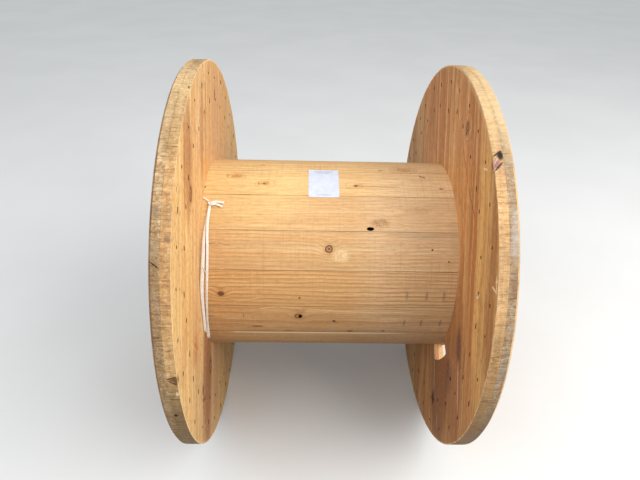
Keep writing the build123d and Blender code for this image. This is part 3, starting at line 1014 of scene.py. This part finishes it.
def tape_knot(material):
    """The knot: a band wound tightly over itself, with its short ends."""
    centre = around(KNOT_X, BARREL_R + KNOT_GAP, KNOT_ANGLE)
    outward = Vector((0, centre.y, centre.z - AXIS.z)).normalized()
    side = Vector((1, 0, 0))
    along = side.cross(outward)
    half_x, half_w, half_h = KNOT_HALF
    line = []
    for i in range(KNOT_STEPS + 1):
        turn = math.tau * KNOT_TURNS * i / KNOT_STEPS
        line.append(centre + side * (half_x * math.cos(turn))
                    + along * (half_w * math.sin(turn) * math.cos(turn / 2))
                    + outward * (half_h * math.sin(turn * 1.5)))
    bands = [ribbon("wrap", [p + along * shift for p in line[first:last + 1]], TAPE_W * WRAP_WIDTH)
             for shift, first, last in WRAPS]
    bands += [ribbon("tail", smooth_path(route), TAPE_W * width, TAIL_TWIST, TAIL_FLARE)
              for route, width in TAILS]
    made = bmesh.new()
    for band in bands:
        made.from_mesh(band)
        bpy.data.meshes.remove(band)
    mesh = bpy.data.meshes.new("tape_knot_wraps")
    made.to_mesh(mesh)
    made.free()
    piece = add_piece("tape_knot_wraps", mesh, material)
    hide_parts("tape_knot", "tape_tail_upper", "tape_tail_lower", "tape_end")
    return piece


def loose_fibre(material):
    """A fibre that has come loose from one strand and bridges the gap to the other."""
    return add_piece("tape_fibre", ribbon("tape_fibre", FIBRE, FIBRE_W), material)


def path_length(line):
    return sum((b - a).length for a, b in zip(line, line[1:]))


def tape(material):
    """The knot, the fibre and the two strands, each with its twist, its flare and its slack."""
    more = [tape_knot(material), loose_fibre(material)]
    strands = (("tape_strand_left", "tape_long_left", LONG_LEFT, 10, 0.1, 0.4, []),
               ("tape_strand_right", "tape_long_right", LONG_RIGHT, -14, 0.35, 0, more))
    for name, solid, route, twist, flare, slack, knotted in strands:
        line = smooth_path(route)
        piece = add_piece(name, ribbon(name, line, TAPE_W, twist, flare, slack), material)
        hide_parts(solid)
        tuple(line[0])
        path_length(line)
        [tuple(p) for p in line]
        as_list(knotted)


# The floor, the lamps and the world. A lamp is its place, what it faces, its size, its power and its colour.
FLOOR_HALF = 30
FLOOR_SEEN = ((216, 215, 213), (220, 219, 217))
FLOOR_LIT = (38, 36, 34)
LAMPS = {
    "key": ((3.0, -1.9, 3.0), (0, 0, 0.5), 4.0, 218, (1.0, 0.98, 0.95)),
    "fill": ((-2.2, -2.2, 2.6), (0.2, 0, 0.5), 3.0, 52, (0.9, 0.96, 1.0)),
}
SKY = (0.92, 0.96, 1.0, 1)
SKY_WAY = (0, -0.15, 0.98)
SKY_FADE = (-0.02, 0.85, 0.05, 1.02)
GROUND_SEEN = (0.82, 0.82, 0.81, 1)


def floor():
    """A pale floor that gives off little light, so that the drum's underside stays dark."""
    s = Shader("studio_floor")
    cloud = s.noise(s.node("TexCoord", {}, "Object"), 1.5, 3)
    path = s.tree.nodes.new("ShaderNodeLightPath").outputs
    seen = s.math("MAXIMUM", path["Is Camera Ray"],
                  s.math("MAXIMUM", path["Is Glossy Ray"], path["Is Transmission Ray"]))
    material = s.finish(s.mix(seen, FLOOR_LIT, s.mix(s.ease(cloud, 0.3, 0.7), *FLOOR_SEEN)), 0.8)
    corners = [(FLOOR_HALF * x, FLOOR_HALF * y, 0) for x, y in ((-1, -1), (1, -1), (1, 1), (-1, 1))]
    mesh = mesh_from("floor", corners, [(0, 1, 2, 3)], False)
    mesh.materials.append(material)
    new_object("floor", mesh)


def lamp(name, place, target, size, power, colour):
    data = bpy.data.lights.new(name, "AREA")
    data.size = size
    data.energy = power
    data.color = colour
    light = new_object(name, data)
    light.location = place
    light.rotation_mode = "QUATERNION"
    light.rotation_quaternion = (Vector(target) - Vector(place)).to_track_quat("-Z", "Y")


def world():
    """Soft light from overhead that fades towards the horizon; a plain pale ground is seen instead."""
    s = Shader("studio", world=True)
    bpy.context.scene.world = s.material
    height = s.vector("DOT_PRODUCT", s.node("TexCoord", {}, "Generated"), SKY_WAY)
    light = s.node("Background", {0: SKY, 1: s.ease(height, *SKY_FADE)})
    seen = s.node("Background", {0: GROUND_SEEN, 1: 1})
    to_camera = s.node("LightPath", {}, "Is Camera Ray")
    output = s.tree.nodes.new("ShaderNodeOutputWorld")
    s.put(output.inputs[0], s.node("MixShader", {0: to_camera, 1: light, 2: seen}))


# The scene
make_camera()
dress_cad()
nails = nail_material()
for nail_side in NAIL_SIDES:
    nail_points(*nail_side, nails)
    nail_heads(*nail_side, nails)
label(paper_material())
tape(tape_material())
floor()
world()
for name, settings in LAMPS.items():
    lamp(name, *settings)
bpy.context.scene.view_settings.view_transform = "Standard"
